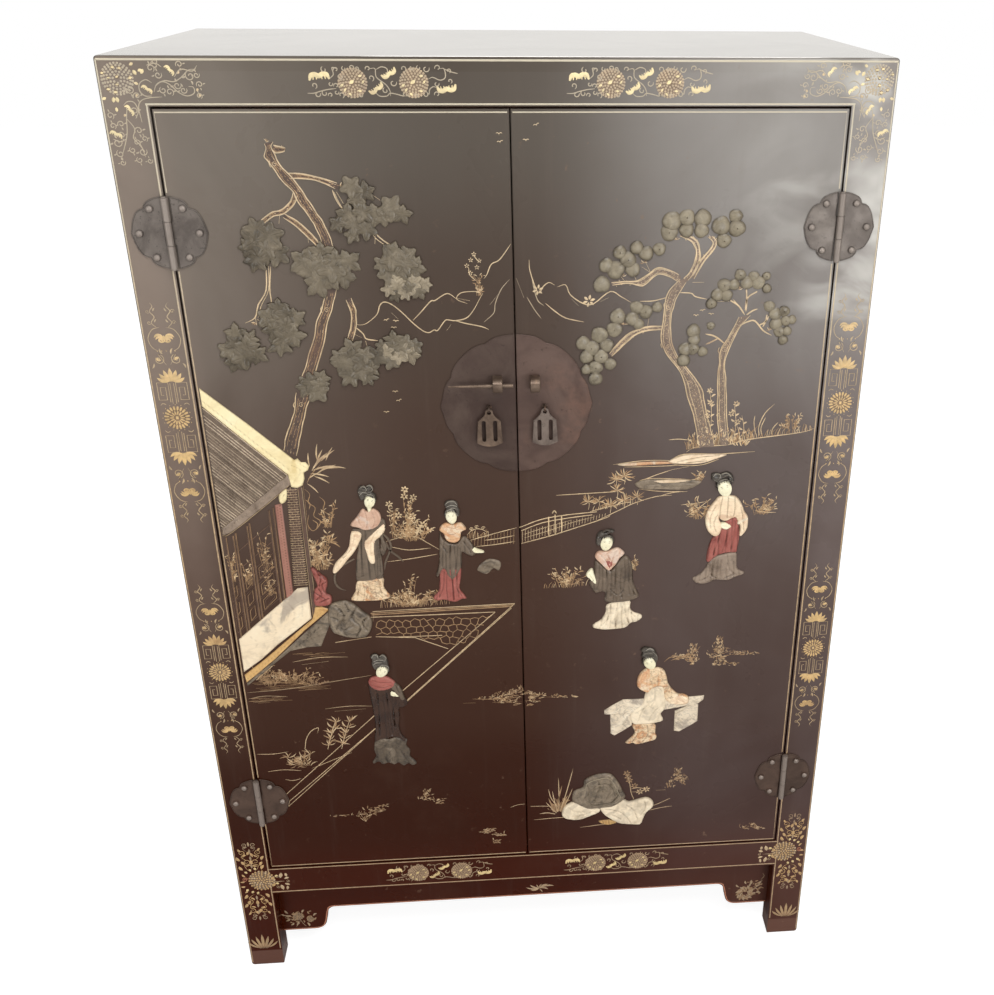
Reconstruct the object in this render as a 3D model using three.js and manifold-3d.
// Two-door lacquer cabinet that stands on its own corner posts, with hanging pulls and a pin lock.
// Millimetres, +Z up, +X to the viewer's right. The doors face -Y, and the feet stand at Z = 0.
import * as THREE from 'three';
import { mergeVertices } from 'three/addons/utils/BufferGeometryUtils.js';
import Module from 'manifold-3d';

const wasm = await Module();
wasm.setup();

// Whole cabinet
const cabinetWidth = 900;
const cabinetDepth = 447;
const cabinetHeight = 1388;
const edgeRound = 5;
const topRound = 4;

// Corner posts and rails
const postWidth = 52.5;
const frameDepth = 34;
const topBoardThickness = 16;
const topRailHeight = 37;
const bottomRailHeight = 51.5;
const railUnderside = 155;
const footRound = 4;

// Aprons, which step down into a spandrel beside each post
const apronThickness = 10;
const apronRecess = 24;
const apronUnderside = 94;
const spandrelUnderside = 48;
const spandrelFlat = 50;
const spandrelRound = 18;
const spandrelLean = 7.5;
const apronFillet = 11;

// Panels, floor, shelves and the strips that the doors close against
const panelThickness = 8;
const panelRecess = 5;
const floorThickness = 14;
const shelfThickness = 16;
const shelfEndGap = 1;
const shelfSetback = 4;
const shelfCount = 2;
const cleatWidth = 16;
const cleatHeight = 22;
const stopHeight = 12;
const stopGap = 1;

// Doors
const doorThickness = 18;
const doorGap = 2;
const doorTopGap = 3;
const meetingGap = 1.5;
const doorEdgeBevel = 1;
const battenWidth = 40;
const battenThickness = 9;
const battenEndInset = 45;
const battenInset = 190;

// Hinges, with each inset measured from the end of the door
const lowerHingeInset = 132.5;
const upperHingeInset = 138;
const leafRadius = 42.5;
const leafThickness = 1.5;
const leafBevel = 0.4;
const barrelRadius = 4.2;
const barrelLength = 83;
const barrelGap = 0.5;
const hingePinRadius = 1.8;
const hingePinGap = 0.4;
const hingePinHeadRadius = 3.2;
const hingePinHeadHeight = 1.2;
const nailCircle = 34;
const nailHeadRadius = 4.75;
const nailHeadHeight = 3.8;
const nailSpread = THREE.MathUtils.degToRad(57);

// Lock plate, staples and sliding pin
const lockHeight = 970;
const lockPlateRadius = 94;
const plateThickness = 1.6;
const plateBevel = 0.5;
const stapleRise = 31;
const stapleOffset = 23.5;
const stapleWidth = 12.5;
const stapleRadius = 9.5;
const stapleBore = 3.2;
const stapleReach = 11;
const stapleBevel = 0.8;
const lockPinRadius = 2.5;
const lockPinTip = 1.2;
const lockPinLength = 81;
const lockPinTaper = 52;
const lockPinLead = 30;
const lockPinTravel = 34;

// Pulls and the small ring eyes that they hang from
const pullOffset = 35.5;
const pullDrop = 3.75;
const eyeRingRadius = 4;
const eyeWireRadius = 1;
const eyeBossRadius = 3.5;
const eyeBossThickness = 1.5;
const pullThickness = 2.5;
const pullBevel = 0.4;
const pullRim = 2.5;
const pullHoleRadius = 2.5;
const pullShoulderWidth = 29;
const pullFootWidth = 33;
const pullShoulderDrop = 15.5;
const pullCornerDrop = 45.5;
const pullLength = 50.5;
const pullSlotWidth = 5;
const pullSlotLength = 29;
const pullSlotOffset = 7.25;
const pullSlotDrop = 14.5;

// Clearance under hardware that lies on lacquer or metal, and how far a cut runs past its piece
const seatGap = 0.3;
const overrun = 1;

// Smoothness of the round stretches
const roundSteps = 4;
const curveSteps = 6;
const wireSteps = 10;
const ringSteps = 18;
const barrelSteps = 16;
const nailSteps = 12;
const domeSteps = 4;

// Places that follow from the sizes above
const halfWidth = cabinetWidth / 2;
const hardwareReach = seatGap + plateThickness + seatGap + stapleReach + stapleRadius;
const frontY = (hardwareReach - cabinetDepth) / 2;
const backY = frontY + cabinetDepth;
const railTop = cabinetHeight - topBoardThickness;
const openingTop = railTop - topRailHeight;
const openingBottom = railUnderside + bottomRailHeight;
const openingHalf = halfWidth - postWidth;
const innerFrontY = frontY + frameDepth;
const innerBackY = backY - frameDepth;
const panelInner = halfWidth - (panelRecess + panelThickness);
const hingeReach = barrelRadius + seatGap;
const hingeX = openingHalf - doorGap / 2;
const hingeY = frontY - hingeReach;
const doorBottom = openingBottom + doorGap;
const doorTop = openingTop - doorTopGap;
const hingeHeights = { lower: doorBottom + lowerHingeInset, upper: doorTop - upperHingeInset };
const pullHoleDrop = pullRim / 2 + pullHoleRadius;
const pullHeadRadius = pullRim + pullHoleRadius;
const eyeReach = eyeBossThickness + eyeRingRadius + eyeWireRadius;
const lockPinSag = stapleBore - lockPinRadius - seatGap;
const eyeRise = Math.sqrt(
  (eyeRingRadius - eyeWireRadius - seatGap) ** 2 - (pullThickness / 2) ** 2,
) - pullRim / 2;

const sides = { left: -1, right: 1 };
const finishes = {
  lacquer: { color: 0x3a2018, roughness: 0.3, metalness: 0 },
  inside: { color: 0x5a3020, roughness: 0.55, metalness: 0 },
  lockPlate: { color: 0x3c241e, roughness: 0.45, metalness: 0.6 },
  iron: { color: 0x3b3735, roughness: 0.4, metalness: 0.8 },
};

// The front of the cabinet as a drawing board: x to the right, y up and z towards the viewer
const facing = new THREE.Matrix4().makeBasis(
  new THREE.Vector3(1, 0, 0),
  new THREE.Vector3(0, 0, 1),
  new THREE.Vector3(0, -1, 0),
);

function piece(name, geometry, finish) {
  const mesh = new THREE.Mesh(geometry, new THREE.MeshStandardMaterial(finishes[finish]));
  mesh.name = name;
  return mesh;
}

// Joining and cutting work on closed solids whose shared vertices are merged
function toSolid(geometry) {
  const bare = geometry.clone();
  bare.deleteAttribute('normal');
  bare.deleteAttribute('uv');
  const merged = mergeVertices(bare);
  return new wasm.Manifold(new wasm.Mesh({
    numProp: 3,
    vertProperties: new Float32Array(merged.attributes.position.array),
    triVerts: new Uint32Array(merged.index.array),
  }));
}

function toGeometry(solid) {
  const mesh = solid.getMesh();
  const geometry = new THREE.BufferGeometry();
  geometry.setAttribute('position', new THREE.BufferAttribute(mesh.vertProperties, 3));
  geometry.setIndex(new THREE.BufferAttribute(mesh.triVerts, 1));
  geometry.computeVertexNormals();
  return geometry;
}

function joined(geometries) {
  return geometries.map(toSolid).reduce((whole, part) => whole.add(part));
}

// A square-edged board between two opposite corners
function board(low, high) {
  const geometry = new THREE.BoxGeometry(1, 1, 1);
  const corners = geometry.attributes.position;
  for (let i = 0; i < corners.count; i += 1) {
    corners.setXYZ(
      i,
      corners.getX(i) > 0 ? high[0] : low[0],
      corners.getY(i) > 0 ? high[1] : low[1],
      corners.getZ(i) > 0 ? high[2] : low[2],
    );
  }
  return geometry;
}

// A closed skin through outlines stacked from bottom to top, which all have as many points
function stacked(levels) {
  const rings = levels.map(({ outline }) => (
    THREE.ShapeUtils.isClockWise(outline) ? [...outline].reverse() : outline
  ));
  const count = rings[0].length;
  const top = (rings.length - 1) * count;
  const positions = rings.flatMap((ring, level) => ring.flatMap((p) => [p.x, p.y, levels[level].z]));
  const index = [];
  for (let start = 0; start < top; start += count) {
    for (let i = 0; i < count; i += 1) {
      const a = start + i;
      const b = start + ((i + 1) % count);
      index.push(a, b, b + count, a, b + count, a + count);
    }
  }
  THREE.ShapeUtils.triangulateShape(rings[0], []).forEach(([a, b, c]) => index.push(a, c, b));
  THREE.ShapeUtils.triangulateShape(rings.at(-1), [])
    .forEach(([a, b, c]) => index.push(top + a, top + b, top + c));
  const geometry = new THREE.BufferGeometry();
  geometry.setAttribute('position', new THREE.Float32BufferAttribute(positions, 3));
  geometry.setIndex(index);
  geometry.computeVertexNormals();
  return geometry;
}

// A flat plate from Z = 0 to its thickness, with its edges bevelled inwards
function plate(shape, thickness, bevel) {
  const geometry = new THREE.ExtrudeGeometry(shape, {
    depth: thickness - 2 * bevel,
    bevelThickness: bevel,
    bevelSize: bevel,
    bevelOffset: -bevel,
    bevelSegments: 1,
    curveSegments: curveSteps,
  });
  return geometry.translate(0, 0, bevel);
}

// Quarter-circle steps, as the inset and the rise left over at each step of a rounded edge
function quarterRound(radius) {
  return Array.from({ length: roundSteps + 1 }, (_, i) => {
    const angle = (i / roundSteps) * (Math.PI / 2);
    return { inset: radius * (1 - Math.cos(angle)), rise: radius * Math.sin(angle) };
  });
}

function cornerArc(centre, radius, startAngle) {
  return Array.from({ length: roundSteps + 1 }, (_, i) => {
    const angle = startAngle + (i / roundSteps) * (Math.PI / 2);
    return new THREE.Vector2(
      centre.x + radius * Math.cos(angle),
      centre.y + radius * Math.sin(angle),
    );
  });
}

// A post from above, with its outer corner at the origin and rounded
function postOutline(inset) {
  const radius = edgeRound * (1 - inset / (2 * footRound));
  const centre = new THREE.Vector2(inset + radius, inset + radius);
  return [
    ...cornerArc(centre, radius, Math.PI),
    new THREE.Vector2(postWidth - inset, inset),
    new THREE.Vector2(postWidth - inset, frameDepth - inset),
    new THREE.Vector2(inset, frameDepth - inset),
  ];
}

// A post runs from the floor to the underside of the top board, and its foot is rounded all round
function cornerPost(sideX, isFront) {
  const place = (p) => new THREE.Vector2(
    sideX * (halfWidth - p.x),
    isFront ? frontY + p.y : backY - p.y,
  );
  const levels = quarterRound(footRound).reverse().map(({ inset, rise }) => (
    { z: footRound - rise, outline: postOutline(inset).map(place) }
  ));
  levels.push({ z: railTop, outline: postOutline(0).map(place) });
  return stacked(levels);
}

// The top board covers posts and rails, and its upper edge is rounded like theirs
function topBoard() {
  const outlineAt = (inset) => {
    const radius = edgeRound * (1 - inset / (2 * topRound));
    const x = halfWidth - inset - radius;
    const front = frontY + inset + radius;
    const back = backY - inset - radius;
    return [[x, back], [-x, back], [-x, front], [x, front]].flatMap((corner, i) => (
      cornerArc(new THREE.Vector2(...corner), radius, i * (Math.PI / 2))
    ));
  };
  const levels = [{ z: railTop, outline: outlineAt(0) }];
  quarterRound(topRound).forEach(({ inset, rise }) => {
    levels.push({ z: cabinetHeight - topRound + rise, outline: outlineAt(inset) });
  });
  return stacked(levels);
}

// A board in one wall, set inwards from the outer face by its recess and between two posts
function wallBoard(wall, bottom, top, recess, thickness) {
  const deep = recess + thickness;
  const spans = {
    front: [[-openingHalf, frontY + recess], [openingHalf, frontY + deep]],
    back: [[-openingHalf, backY - deep], [openingHalf, backY - recess]],
    left: [[-halfWidth + recess, innerFrontY], [-halfWidth + deep, innerBackY]],
    right: [[halfWidth - deep, innerFrontY], [halfWidth - recess, innerBackY]],
  };
  const [low, high] = spans[wall];
  return board([...low, bottom], [...high, top]);
}

// An apron's outline along its wall, from post to post, with a spandrel at each end
function apronShape(start, end) {
  const knee = spandrelFlat + spandrelRound;
  const shoulder = knee + spandrelLean;
  const slope = new THREE.Vector2(spandrelLean, apronUnderside - spandrelUnderside).normalize();
  const half = [
    { from: [spandrelFlat, spandrelUnderside], bend: [knee, spandrelUnderside],
      to: [knee + slope.x * spandrelRound, spandrelUnderside + slope.y * spandrelRound] },
    { from: [shoulder - slope.x * apronFillet, apronUnderside - slope.y * apronFillet],
      bend: [shoulder, apronUnderside], to: [shoulder + apronFillet, apronUnderside] },
  ];
  const shape = new THREE.Shape();
  shape.moveTo(start, railUnderside);
  shape.lineTo(start, spandrelUnderside);
  half.forEach(({ from, bend, to }) => {
    shape.lineTo(start + from[0], from[1]);
    shape.quadraticCurveTo(start + bend[0], bend[1], start + to[0], to[1]);
  });
  [...half].reverse().forEach(({ from, bend, to }) => {
    shape.lineTo(end - to[0], to[1]);
    shape.quadraticCurveTo(end - bend[0], bend[1], end - from[0], from[1]);
  });
  shape.lineTo(end, spandrelUnderside);
  shape.lineTo(end, railUnderside);
  return shape;
}

function apron(wall) {
  const along = wall === 'front' || wall === 'back'
    ? apronShape(-openingHalf, openingHalf)
    : apronShape(innerFrontY, innerBackY);
  const geometry = new THREE.ExtrudeGeometry(along, {
    depth: apronThickness,
    bevelEnabled: false,
    curveSegments: curveSteps,
  });
  const deep = apronRecess + apronThickness;
  if (wall === 'front' || wall === 'back') {
    const y = wall === 'front' ? frontY + deep : backY - apronRecess;
    return geometry.applyMatrix4(facing).translate(0, y, 0);
  }
  const sideways = new THREE.Matrix4().makeBasis(
    new THREE.Vector3(0, 1, 0),
    new THREE.Vector3(0, 0, 1),
    new THREE.Vector3(1, 0, 0),
  );
  const x = wall === 'left' ? -halfWidth + apronRecess : halfWidth - deep;
  return geometry.applyMatrix4(sideways).translate(x, 0, 0);
}

function carcass() {
  const group = new THREE.Group();
  for (const [side, sideX] of Object.entries(sides)) {
    group.add(piece(`${side}_front_post`, cornerPost(sideX, true), 'lacquer'));
    group.add(piece(`${side}_back_post`, cornerPost(sideX, false), 'lacquer'));
  }
  group.add(piece('top_board', topBoard(), 'lacquer'));
  for (const wall of ['front', 'back', 'left', 'right']) {
    const topRail = wallBoard(wall, openingTop, railTop, 0, frameDepth);
    const bottomRail = wallBoard(wall, railUnderside, openingBottom, 0, frameDepth);
    group.add(piece(`${wall}_top_rail`, topRail, 'lacquer'));
    group.add(piece(`${wall}_bottom_rail`, bottomRail, 'lacquer'));
    group.add(piece(`${wall}_apron`, apron(wall), 'lacquer'));
  }
  const panelRecesses = {
    left: panelRecess, right: panelRecess, back: frameDepth - panelThickness,
  };
  for (const [wall, recess] of Object.entries(panelRecesses)) {
    const panel = wallBoard(wall, openingBottom, openingTop, recess, panelThickness);
    group.add(piece(`${wall}_panel`, panel, 'lacquer'));
  }
  return group;
}

function interior() {
  const group = new THREE.Group();
  const floorHalf = halfWidth - frameDepth;
  group.add(piece('floor_board', board(
    [-floorHalf, innerFrontY, openingBottom - floorThickness],
    [floorHalf, innerBackY, openingBottom],
  ), 'inside'));
  const stopY = frontY + doorThickness + stopGap;
  const stops = {
    top: [openingTop - stopHeight, openingTop],
    bottom: [openingBottom, openingBottom + stopHeight],
  };
  for (const [level, [low, high]] of Object.entries(stops)) {
    group.add(piece(`${level}_door_stop`, board(
      [-openingHalf, stopY, low],
      [openingHalf, innerFrontY, high],
    ), 'inside'));
  }
  const pitch = (openingTop - openingBottom) / (shelfCount + 1);
  const shelfHalf = panelInner - shelfEndGap;
  for (let i = 1; i <= shelfCount; i += 1) {
    const underside = openingBottom + i * pitch;
    group.add(piece(`shelf_${i}`, board(
      [-shelfHalf, innerFrontY + shelfSetback, underside],
      [shelfHalf, innerBackY, underside + shelfThickness],
    ), 'inside'));
    for (const [side, sideX] of Object.entries(sides)) {
      const ends = [sideX * panelInner, sideX * (panelInner - cleatWidth)];
      group.add(piece(`${side}_shelf_cleat_${i}`, board(
        [Math.min(...ends), innerFrontY, underside - cleatHeight],
        [Math.max(...ends), innerBackY, underside],
      ), 'inside'));
    }
  }
  return group;
}

// A pointed peak, 1 at its tip and 0 beyond its half-width
function peak(offset, halfWidthAngle) {
  return Math.max(0, 1 - Math.abs(offset) / halfWidthAngle) ** 2;
}

// Half of a lobed round plate: a tip straight out to the side, and notches between its lobes
function lobedHalf(towards, radius, innerEdge, lobes) {
  const angles = [];
  for (let angle = -lobes.limit; angle <= lobes.limit; angle += lobes.step) {
    angles.push(angle);
  }
  const rise = Math.sqrt(radius ** 2 - innerEdge ** 2);
  const points = angles.map((angle) => {
    const tip = lobes.tipShare * peak(angle, lobes.peakWidth);
    const notch = lobes.notches.reduce(
      (sum, at) => sum + lobes.notchShare * peak(Math.abs(angle) - at, lobes.peakWidth),
      0,
    );
    const reach = radius * (1 + tip - notch);
    const turn = THREE.MathUtils.degToRad(angle);
    return new THREE.Vector2(towards * reach * Math.cos(turn), reach * Math.sin(turn));
  });
  return new THREE.Shape([
    new THREE.Vector2(towards * innerEdge, -rise),
    ...points,
    new THREE.Vector2(towards * innerEdge, rise),
  ]);
}

const hingeLobes = {
  step: 6, limit: 78, notches: [48], notchShare: 0.09, tipShare: 0.03, peakWidth: 14,
};
const lockLobes = {
  step: 5, limit: 85, notches: [25, 65], notchShare: 0.035, tipShare: 0.03, peakWidth: 12,
};

// A domed nail head whose foot is let into the leaf that it holds
function nailHead() {
  const foot = leafThickness / 2;
  const profile = [new THREE.Vector2(0, -foot), new THREE.Vector2(nailHeadRadius, -foot)];
  for (let i = 0; i < domeSteps; i += 1) {
    const angle = (i / domeSteps) * (Math.PI / 2);
    profile.push(new THREE.Vector2(
      nailHeadRadius * Math.cos(angle),
      nailHeadHeight * Math.sin(angle),
    ));
  }
  profile.push(new THREE.Vector2(0, nailHeadHeight));
  return new THREE.LatheGeometry(profile, nailSteps).rotateX(Math.PI / 2);
}

// A leaf about the barrel's axis, reaching left (-1) or right (+1), with its share of the knuckles
function hingeLeaf(towards, knuckles) {
  const innerEdge = barrelRadius + barrelGap;
  const leaf = plate(lobedHalf(towards, leafRadius, innerEdge, hingeLobes), leafThickness, leafBevel)
    .translate(0, 0, -barrelRadius);
  const nails = [-nailSpread, 0, nailSpread].map((turn) => nailHead().translate(
    towards * nailCircle * Math.cos(turn),
    nailCircle * Math.sin(turn),
    leafThickness - barrelRadius,
  ));
  const knuckleLength = (barrelLength - 2 * barrelGap) / 3;
  const rolls = knuckles.flatMap((slot) => {
    const middle = (slot - 1) * (knuckleLength + barrelGap);
    const roll = new THREE.CylinderGeometry(barrelRadius, barrelRadius, knuckleLength, barrelSteps)
      .translate(0, middle, 0);
    const web = board(
      [Math.min(0, towards * (innerEdge + overrun)), middle - knuckleLength / 2, -barrelRadius],
      [Math.max(0, towards * (innerEdge + overrun)), middle + knuckleLength / 2,
        leafThickness - barrelRadius],
    );
    return [roll, web];
  });
  const boreRadius = hingePinRadius + hingePinGap;
  const bore = new THREE.CylinderGeometry(
    boreRadius,
    boreRadius,
    barrelLength + 2 * overrun,
    barrelSteps,
  );
  const solid = joined([leaf, ...nails, ...rolls]).subtract(toSolid(bore));
  return toGeometry(solid).applyMatrix4(facing);
}

// The pin runs through every knuckle and is riveted over at both ends
function hingePin() {
  const rivet = barrelLength / 2 + seatGap;
  const end = rivet + hingePinHeadHeight;
  const profile = [[0, -end], [hingePinHeadRadius, -end], [hingePinHeadRadius, -rivet],
    [hingePinRadius, -rivet], [hingePinRadius, rivet], [hingePinHeadRadius, rivet],
    [hingePinHeadRadius, end], [0, end]];
  const geometry = new THREE.LatheGeometry(
    profile.map(([radius, height]) => new THREE.Vector2(radius, height)),
    barrelSteps,
  );
  return geometry.applyMatrix4(facing);
}

function fixedHinges() {
  const group = new THREE.Group();
  for (const [side, sideX] of Object.entries(sides)) {
    for (const [level, height] of Object.entries(hingeHeights)) {
      const hinge = new THREE.Group();
      hinge.position.set(sideX * hingeX, hingeY, height);
      hinge.add(piece(`${side}_${level}_frame_leaf`, hingeLeaf(sideX, [0, 2]), 'iron'));
      hinge.add(piece(`${side}_${level}_hinge_pin`, hingePin(), 'iron'));
      group.add(hinge);
    }
  }
  return group;
}

// The staple is a thick strap bent round the bore that the lock pin slides through
function staple() {
  const shape = new THREE.Shape();
  shape.moveTo(0, stapleRadius);
  shape.lineTo(0, -stapleRadius);
  shape.lineTo(stapleReach, -stapleRadius);
  shape.absarc(stapleReach, 0, stapleRadius, -Math.PI / 2, Math.PI / 2, false);
  shape.holes.push(new THREE.Path().absarc(stapleReach, 0, stapleBore, 0, 2 * Math.PI, true));
  const geometry = plate(shape, stapleWidth, stapleBevel).translate(0, 0, -stapleWidth / 2);
  return geometry.applyMatrix4(new THREE.Matrix4().makeBasis(
    new THREE.Vector3(0, -1, 0),
    new THREE.Vector3(0, 0, 1),
    new THREE.Vector3(-1, 0, 0),
  ));
}

// A ring on a short stem and a round boss, about the centre of the ring
function pullEye() {
  const ring = new THREE.TorusGeometry(eyeRingRadius, eyeWireRadius, wireSteps, ringSteps)
    .rotateY(Math.PI / 2);
  const boss = new THREE.CylinderGeometry(
    eyeBossRadius,
    eyeBossRadius,
    eyeBossThickness,
    barrelSteps,
  ).rotateX(Math.PI / 2).translate(0, 0, eyeBossThickness / 2 - eyeReach);
  const stemLength = eyeReach - eyeBossThickness / 2 - eyeRingRadius;
  const stem = new THREE.CylinderGeometry(eyeWireRadius, eyeWireRadius, stemLength, wireSteps)
    .rotateX(Math.PI / 2)
    .translate(0, 0, -eyeRingRadius - stemLength / 2);
  return toGeometry(joined([ring, boss, stem])).applyMatrix4(facing);
}

// The pull is a tag with a round head, sloping shoulders, two long slots and a bowed foot
function pullTag() {
  const shoulder = pullShoulderWidth / 2;
  const foot = pullFootWidth / 2;
  const shape = new THREE.Shape();
  shape.absarc(0, -pullHoleDrop, pullHeadRadius, 0, Math.PI, false);
  shape.quadraticCurveTo(-pullHeadRadius, -pullShoulderDrop / 2, -shoulder, -pullShoulderDrop);
  shape.lineTo(-foot, -pullCornerDrop);
  shape.quadraticCurveTo(0, pullCornerDrop - 2 * pullLength, foot, -pullCornerDrop);
  shape.lineTo(shoulder, -pullShoulderDrop);
  shape.quadraticCurveTo(pullHeadRadius, -pullShoulderDrop / 2, pullHeadRadius, -pullHoleDrop);
  shape.holes.push(new THREE.Path().absarc(0, -pullHoleDrop, pullHoleRadius, 0, 2 * Math.PI, true));
  const slotEnd = pullSlotWidth / 2;
  for (const sideX of Object.values(sides)) {
    const x = sideX * pullSlotOffset;
    const slot = new THREE.Path();
    slot.absarc(x, -pullSlotDrop - slotEnd, slotEnd, 0, Math.PI, false);
    slot.absarc(x, -pullSlotDrop - pullSlotLength + slotEnd, slotEnd, Math.PI, 2 * Math.PI, false);
    shape.holes.push(slot);
  }
  return plate(shape, pullThickness, pullBevel)
    .translate(0, 0, -pullThickness / 2)
    .applyMatrix4(facing);
}

// The lock pin lies along X about its right-hand end and tapers towards its left-hand tip
function lockPin() {
  const profile = [[0, 0], [lockPinRadius, 0], [lockPinRadius, -lockPinLength + lockPinTaper],
    [lockPinTip, -lockPinLength], [0, -lockPinLength]];
  return new THREE.LatheGeometry(
    profile.reverse().map(([radius, along]) => new THREE.Vector2(radius, along)),
    barrelSteps,
  ).rotateZ(-Math.PI / 2);
}

// A door about its hinge axis, with everything that swings with it
function door(side) {
  const sideX = sides[side];
  const inward = -sideX;
  const group = new THREE.Group();
  group.position.set(sideX * hingeX, hingeY, 0);

  const backFace = hingeReach + doorThickness;
  const hingeEdge = doorGap / 2;
  const meetingEdge = hingeX - meetingGap / 2;
  const outline = new THREE.Shape([
    new THREE.Vector2(inward * hingeEdge, doorBottom),
    new THREE.Vector2(inward * meetingEdge, doorBottom),
    new THREE.Vector2(inward * meetingEdge, doorTop),
    new THREE.Vector2(inward * hingeEdge, doorTop),
  ]);
  group.add(piece(
    `${side}_door_board`,
    plate(outline, doorThickness, doorEdgeBevel).applyMatrix4(facing).translate(0, backFace, 0),
    'lacquer',
  ));

  const ends = [inward * (hingeEdge + battenEndInset), inward * (meetingEdge - battenEndInset)];
  const battenMiddles = { lower: doorBottom + battenInset, upper: doorTop - battenInset };
  for (const [level, middle] of Object.entries(battenMiddles)) {
    group.add(piece(`${side}_door_${level}_batten`, board(
      [Math.min(...ends), backFace, middle - battenWidth / 2],
      [Math.max(...ends), backFace + battenThickness, middle + battenWidth / 2],
    ), 'inside'));
  }

  for (const [level, height] of Object.entries(hingeHeights)) {
    const leaf = piece(`${side}_${level}_door_leaf`, hingeLeaf(inward, [1]), 'iron');
    leaf.position.z = height;
    group.add(leaf);
  }

  const plateBack = hingeReach - seatGap;
  const plateFace = plateBack - plateThickness - seatGap;
  const lockPlate = piece(`${side}_lock_plate`, plate(
    lobedHalf(sideX, lockPlateRadius, meetingGap / 2, lockLobes),
    plateThickness,
    plateBevel,
  ).applyMatrix4(facing), 'lockPlate');
  lockPlate.position.set(inward * hingeX, plateBack, lockHeight);
  group.add(lockPlate);

  const eye = piece(`${side}_staple`, staple(), 'iron');
  eye.position.set(inward * (hingeX - stapleOffset), plateFace, lockHeight + stapleRise);
  group.add(eye);

  const pullAxis = new THREE.Group();
  pullAxis.position.set(
    inward * (hingeX - pullOffset),
    plateFace - eyeReach,
    lockHeight - pullDrop,
  );
  const pullEyeRing = piece(`${side}_pull_eye`, pullEye(), 'iron');
  pullEyeRing.position.z = eyeRise;
  pullAxis.add(pullEyeRing, piece(`${side}_pull`, pullTag(), 'iron'));
  group.add(pullAxis);

  if (side === 'left') {
    const pin = piece('lock_pin', lockPin(), 'iron');
    pin.position.set(
      hingeX + lockPinLead - lockPinTravel,
      plateFace - stapleReach,
      lockHeight + stapleRise - lockPinSag,
    );
    group.add(pin);
  }
  return group;
}

const cabinet = new THREE.Group();
cabinet.add(carcass(), interior(), fixedHinges(), door('left'), door('right'));

export default cabinet;
